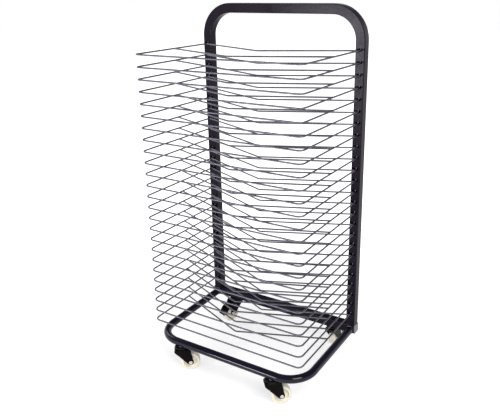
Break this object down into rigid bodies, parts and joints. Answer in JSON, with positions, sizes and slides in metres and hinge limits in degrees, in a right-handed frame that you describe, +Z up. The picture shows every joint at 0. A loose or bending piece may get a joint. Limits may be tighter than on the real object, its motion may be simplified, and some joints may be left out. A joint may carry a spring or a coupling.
{
  "type": "art drying rack",
  "caption": "Mobile art drying rack: hinged wire shelves with V-shaped cross wires hooked into a bent tube frame that rolls on four swivel casters.",
  "frame": {"origin": "middle of the overall box, on the floor", "axes": "+X across the shelves to the right seen from the front, +Y to the uprights at the back, +Z up"},
  "size_m": [0.484, 0.3868, 0.961],
  "materials": {
    "powder_coat_frame": "satin charcoal black powder coat",
    "powder_coat_base": "glossy blue-black powder coat",
    "shelf_wire": "bright zinc-plated wire",
    "end_plug": "light grey moulded plastic",
    "inner_steel": "plain steel",
    "screw_steel": "zinc-plated steel",
    "caster_steel": "black-finished pressed steel",
    "fork_black": "glossy black nylon",
    "wheel_cream": "cream nylon",
    "rivet_silver": "bright steel rivet"
  },
  "bodies": {
    "frame": {"upright_frame": "powder_coat_frame", "rear_crossbar": "powder_coat_frame", "base_tube": "powder_coat_base", "crossbar_end_plugs": "end_plug", "upright_spigots": "inner_steel", "frame_screws": "screw_steel", "caster_inserts": "inner_steel", "stem_front_left": "caster_steel", "swivel_ring_front_left": "caster_steel", "stem_front_right": "caster_steel", "swivel_ring_front_right": "caster_steel", "stem_rear_left": "caster_steel", "swivel_ring_rear_left": "caster_steel", "stem_rear_right": "caster_steel", "swivel_ring_rear_right": "caster_steel"},
    "shelf_01": {"shelf_01": "shelf_wire"},
    "shelf_02": {"shelf_02": "shelf_wire"},
    "shelf_03": {"shelf_03": "shelf_wire"},
    "shelf_04": {"shelf_04": "shelf_wire"},
    "shelf_05": {"shelf_05": "shelf_wire"},
    "shelf_06": {"shelf_06": "shelf_wire"},
    "shelf_07": {"shelf_07": "shelf_wire"},
    "shelf_08": {"shelf_08": "shelf_wire"},
    "shelf_09": {"shelf_09": "shelf_wire"},
    "shelf_10": {"shelf_10": "shelf_wire"},
    "shelf_11": {"shelf_11": "shelf_wire"},
    "shelf_12": {"shelf_12": "shelf_wire"},
    "shelf_13": {"shelf_13": "shelf_wire"},
    "shelf_14": {"shelf_14": "shelf_wire"},
    "shelf_15": {"shelf_15": "shelf_wire"},
    "shelf_16": {"shelf_16": "shelf_wire"},
    "shelf_17": {"shelf_17": "shelf_wire"},
    "shelf_18": {"shelf_18": "shelf_wire"},
    "shelf_19": {"shelf_19": "shelf_wire"},
    "shelf_20": {"shelf_20": "shelf_wire"},
    "shelf_21": {"shelf_21": "shelf_wire"},
    "shelf_22": {"shelf_22": "shelf_wire"},
    "shelf_23": {"shelf_23": "shelf_wire"},
    "shelf_24": {"shelf_24": "shelf_wire"},
    "shelf_25": {"shelf_25": "shelf_wire"},
    "swivel_front_left": {"fork_front_left": "fork_black", "axle_front_left": "rivet_silver"},
    "wheel_front_left": {"wheel_front_left": "wheel_cream"},
    "swivel_front_right": {"fork_front_right": "fork_black", "axle_front_right": "rivet_silver"},
    "wheel_front_right": {"wheel_front_right": "wheel_cream"},
    "swivel_rear_left": {"fork_rear_left": "fork_black", "axle_rear_left": "rivet_silver"},
    "wheel_rear_left": {"wheel_rear_left": "wheel_cream"},
    "pedal_rear_left": {"brake_pedal_rear_left": "fork_black"},
    "swivel_rear_right": {"fork_rear_right": "fork_black", "axle_rear_right": "rivet_silver"},
    "wheel_rear_right": {"wheel_rear_right": "wheel_cream"},
    "pedal_rear_right": {"brake_pedal_rear_right": "fork_black"}
  },
  "joints": [
    {"name": "shelf_01_lift", "type": "hinge", "parent": "frame", "child": "shelf_01", "pos_m": [0, 0.12291, 0.133], "axis": [-1, 0, 0], "range_deg": [0, 45]},
    {"name": "shelf_02_lift", "type": "hinge", "parent": "frame", "child": "shelf_02", "pos_m": [0, 0.12291, 0.163], "axis": [-1, 0, 0], "range_deg": [0, 45]},
    {"name": "shelf_03_lift", "type": "hinge", "parent": "frame", "child": "shelf_03", "pos_m": [0, 0.12291, 0.193], "axis": [-1, 0, 0], "range_deg": [0, 45]},
    {"name": "shelf_04_lift", "type": "hinge", "parent": "frame", "child": "shelf_04", "pos_m": [0, 0.12291, 0.223], "axis": [-1, 0, 0], "range_deg": [0, 45]},
    {"name": "shelf_05_lift", "type": "hinge", "parent": "frame", "child": "shelf_05", "pos_m": [0, 0.12291, 0.253], "axis": [-1, 0, 0], "range_deg": [0, 45]},
    {"name": "shelf_06_lift", "type": "hinge", "parent": "frame", "child": "shelf_06", "pos_m": [0, 0.12291, 0.283], "axis": [-1, 0, 0], "range_deg": [0, 45]},
    {"name": "shelf_07_lift", "type": "hinge", "parent": "frame", "child": "shelf_07", "pos_m": [0, 0.12291, 0.313], "axis": [-1, 0, 0], "range_deg": [0, 45]},
    {"name": "shelf_08_lift", "type": "hinge", "parent": "frame", "child": "shelf_08", "pos_m": [0, 0.12291, 0.343], "axis": [-1, 0, 0], "range_deg": [0, 45]},
    {"name": "shelf_09_lift", "type": "hinge", "parent": "frame", "child": "shelf_09", "pos_m": [0, 0.12291, 0.373], "axis": [-1, 0, 0], "range_deg": [0, 45]},
    {"name": "shelf_10_lift", "type": "hinge", "parent": "frame", "child": "shelf_10", "pos_m": [0, 0.12291, 0.403], "axis": [-1, 0, 0], "range_deg": [0, 45]},
    {"name": "shelf_11_lift", "type": "hinge", "parent": "frame", "child": "shelf_11", "pos_m": [0, 0.12291, 0.433], "axis": [-1, 0, 0], "range_deg": [0, 45]},
    {"name": "shelf_12_lift", "type": "hinge", "parent": "frame", "child": "shelf_12", "pos_m": [0, 0.12291, 0.463], "axis": [-1, 0, 0], "range_deg": [0, 45]},
    {"name": "shelf_13_lift", "type": "hinge", "parent": "frame", "child": "shelf_13", "pos_m": [0, 0.12291, 0.493], "axis": [-1, 0, 0], "range_deg": [0, 45]},
    {"name": "shelf_14_lift", "type": "hinge", "parent": "frame", "child": "shelf_14", "pos_m": [0, 0.12291, 0.523], "axis": [-1, 0, 0], "range_deg": [0, 45]},
    {"name": "shelf_15_lift", "type": "hinge", "parent": "frame", "child": "shelf_15", "pos_m": [0, 0.12291, 0.553], "axis": [-1, 0, 0], "range_deg": [0, 45]},
    {"name": "shelf_16_lift", "type": "hinge", "parent": "frame", "child": "shelf_16", "pos_m": [0, 0.12291, 0.583], "axis": [-1, 0, 0], "range_deg": [0, 45]},
    {"name": "shelf_17_lift", "type": "hinge", "parent": "frame", "child": "shelf_17", "pos_m": [0, 0.12291, 0.613], "axis": [-1, 0, 0], "range_deg": [0, 45]},
    {"name": "shelf_18_lift", "type": "hinge", "parent": "frame", "child": "shelf_18", "pos_m": [0, 0.12291, 0.643], "axis": [-1, 0, 0], "range_deg": [0, 45]},
    {"name": "shelf_19_lift", "type": "hinge", "parent": "frame", "child": "shelf_19", "pos_m": [0, 0.12291, 0.673], "axis": [-1, 0, 0], "range_deg": [0, 45]},
    {"name": "shelf_20_lift", "type": "hinge", "parent": "frame", "child": "shelf_20", "pos_m": [0, 0.12291, 0.703], "axis": [-1, 0, 0], "range_deg": [0, 45]},
    {"name": "shelf_21_lift", "type": "hinge", "parent": "frame", "child": "shelf_21", "pos_m": [0, 0.12291, 0.733], "axis": [-1, 0, 0], "range_deg": [0, 45]},
    {"name": "shelf_22_lift", "type": "hinge", "parent": "frame", "child": "shelf_22", "pos_m": [0, 0.12291, 0.763], "axis": [-1, 0, 0], "range_deg": [0, 45]},
    {"name": "shelf_23_lift", "type": "hinge", "parent": "frame", "child": "shelf_23", "pos_m": [0, 0.12291, 0.793], "axis": [-1, 0, 0], "range_deg": [0, 45]},
    {"name": "shelf_24_lift", "type": "hinge", "parent": "frame", "child": "shelf_24", "pos_m": [0, 0.12291, 0.823], "axis": [-1, 0, 0], "range_deg": [0, 45]},
    {"name": "shelf_25_lift", "type": "hinge", "parent": "frame", "child": "shelf_25", "pos_m": [0, 0.12291, 0.853], "axis": [-1, 0, 0], "range_deg": [0, 45]},
    {"name": "front_left_swivel", "type": "hinge", "parent": "frame", "child": "swivel_front_left", "pos_m": [-0.144, -0.16984, 0.072], "axis": [0, 0, 1], "continuous": true},
    {"name": "front_left_roll", "type": "hinge", "parent": "swivel_front_left", "child": "wheel_front_left", "pos_m": [-0.12509, -0.15507, 0.026], "axis": [-0.6157, 0.788, 0], "continuous": true},
    {"name": "front_right_swivel", "type": "hinge", "parent": "frame", "child": "swivel_front_right", "pos_m": [0.144, -0.16984, 0.072], "axis": [0, 0, 1], "continuous": true},
    {"name": "front_right_roll", "type": "hinge", "parent": "swivel_front_right", "child": "wheel_front_right", "pos_m": [0.16184, -0.15378, 0.026], "axis": [-0.6691, 0.7431, 0], "continuous": true},
    {"name": "rear_left_swivel", "type": "hinge", "parent": "frame", "child": "swivel_rear_left", "pos_m": [-0.168, 0.13466, 0.072], "axis": [0, 0, 1], "continuous": true},
    {"name": "rear_left_roll", "type": "hinge", "parent": "swivel_rear_left", "child": "wheel_rear_left", "pos_m": [-0.17542, 0.11183, 0.026], "axis": [0.9511, -0.309, 0], "continuous": true},
    {"name": "rear_left_brake", "type": "hinge", "parent": "swivel_rear_left", "child": "pedal_rear_left", "pos_m": [-0.17193, 0.12256, 0.05391], "axis": [0.9511, -0.309, 0], "range_deg": [0, 4.5]},
    {"name": "rear_right_swivel", "type": "hinge", "parent": "frame", "child": "swivel_rear_right", "pos_m": [0.168, 0.13466, 0.072], "axis": [0, 0, 1], "continuous": true},
    {"name": "rear_right_roll", "type": "hinge", "parent": "swivel_rear_right", "child": "wheel_rear_right", "pos_m": [0.168, 0.15866, 0.026], "axis": [-1, 0, 0], "continuous": true},
    {"name": "rear_right_brake", "type": "hinge", "parent": "swivel_rear_right", "child": "pedal_rear_right", "pos_m": [0.168, 0.14738, 0.05391], "axis": [-1, 0, 0], "range_deg": [0, 4.5]}
  ],
  "couplings": [
    {"joint": "shelf_02_lift", "follows": "shelf_01_lift", "ratio": 1},
    {"joint": "shelf_03_lift", "follows": "shelf_01_lift", "ratio": 1},
    {"joint": "shelf_04_lift", "follows": "shelf_01_lift", "ratio": 1},
    {"joint": "shelf_05_lift", "follows": "shelf_01_lift", "ratio": 1},
    {"joint": "shelf_06_lift", "follows": "shelf_01_lift", "ratio": 1},
    {"joint": "shelf_07_lift", "follows": "shelf_01_lift", "ratio": 1},
    {"joint": "shelf_08_lift", "follows": "shelf_01_lift", "ratio": 1},
    {"joint": "shelf_09_lift", "follows": "shelf_01_lift", "ratio": 1},
    {"joint": "shelf_10_lift", "follows": "shelf_01_lift", "ratio": 1},
    {"joint": "shelf_11_lift", "follows": "shelf_01_lift", "ratio": 1},
    {"joint": "shelf_12_lift", "follows": "shelf_01_lift", "ratio": 1},
    {"joint": "shelf_13_lift", "follows": "shelf_01_lift", "ratio": 1},
    {"joint": "shelf_14_lift", "follows": "shelf_01_lift", "ratio": 1},
    {"joint": "shelf_15_lift", "follows": "shelf_01_lift", "ratio": 1},
    {"joint": "shelf_16_lift", "follows": "shelf_01_lift", "ratio": 1},
    {"joint": "shelf_17_lift", "follows": "shelf_01_lift", "ratio": 1},
    {"joint": "shelf_18_lift", "follows": "shelf_01_lift", "ratio": 1},
    {"joint": "shelf_19_lift", "follows": "shelf_01_lift", "ratio": 1},
    {"joint": "shelf_20_lift", "follows": "shelf_01_lift", "ratio": 1},
    {"joint": "shelf_21_lift", "follows": "shelf_01_lift", "ratio": 1},
    {"joint": "shelf_22_lift", "follows": "shelf_01_lift", "ratio": 1},
    {"joint": "shelf_23_lift", "follows": "shelf_01_lift", "ratio": 1},
    {"joint": "shelf_24_lift", "follows": "shelf_01_lift", "ratio": 1},
    {"joint": "shelf_25_lift", "follows": "shelf_01_lift", "ratio": 1}
  ]
}
